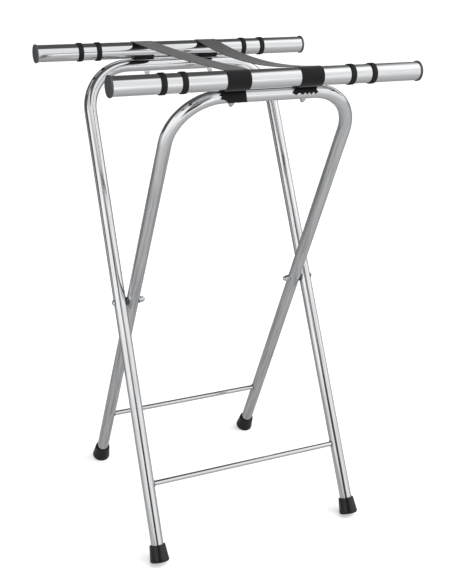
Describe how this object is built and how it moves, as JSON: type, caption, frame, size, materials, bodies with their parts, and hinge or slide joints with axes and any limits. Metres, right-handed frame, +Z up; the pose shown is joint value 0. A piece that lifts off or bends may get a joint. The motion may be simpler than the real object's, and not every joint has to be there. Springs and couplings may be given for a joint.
{
  "type": "folding tray stand",
  "caption": "Folding stand for a serving tray: crossed chrome tube frames pinned at the middle, grip bars on top, and webbing straps that hold it open.",
  "frame": {"origin": "middle of the four feet, on the floor", "axes": "+X along the bars to the right, -Y towards the front bar, +Z up"},
  "size_m": [0.5, 0.399, 0.7895],
  "materials": {
    "chrome_tube": "bright chrome plate on drawn steel tube",
    "bright_rod": "bright chrome plate on cold-drawn rod, welded ends",
    "grey_plastic": "moulded, fine matt",
    "black_rubber": "moulded, satin",
    "plated_steel": "zinc plated",
    "nylon": "smooth moulded",
    "webbing": "close plain weave"
  },
  "bodies": {
    "outer_frame": {"outer_leg_tube": "chrome_tube", "outer_cross_rod": "bright_rod", "rear_bar": "chrome_tube", "rear_bar_left_plug": "grey_plastic", "rear_bar_right_plug": "grey_plastic", "rear_ring_left_outer": "black_rubber", "rear_ring_left_inner": "black_rubber", "rear_ring_right_inner": "black_rubber", "rear_ring_right_outer": "black_rubber", "rear_bar_screws": "plated_steel", "rear_bar_cap_nuts": "plated_steel", "front_left_foot": "black_rubber", "front_right_foot": "black_rubber", "pivot_bolts": "plated_steel", "pivot_spacers": "nylon", "pivot_washers": "plated_steel", "pivot_cap_nuts": "plated_steel", "left_strap_span": "webbing", "right_strap_span": "webbing", "left_strap_rear_loop": "webbing", "right_strap_rear_loop": "webbing"},
    "inner_frame": {"inner_leg_tube": "chrome_tube", "inner_cross_rod": "bright_rod", "front_bar": "chrome_tube", "front_bar_left_plug": "grey_plastic", "front_bar_right_plug": "grey_plastic", "front_ring_left_outer": "black_rubber", "front_ring_left_inner": "black_rubber", "front_ring_right_inner": "black_rubber", "front_ring_right_outer": "black_rubber", "front_bar_screws": "plated_steel", "front_bar_cap_nuts": "plated_steel", "rear_left_foot": "black_rubber", "rear_right_foot": "black_rubber", "left_strap_front_loop": "webbing", "right_strap_front_loop": "webbing"}
  },
  "joints": [
    {"name": "fold", "type": "hinge", "parent": "outer_frame", "child": "inner_frame", "pos_m": [0, 0, 0.39093], "axis": [-1, 0, 0], "range_deg": [0, 47.07], "deforming": ["left_strap_span", "right_strap_span"]}
  ]
}
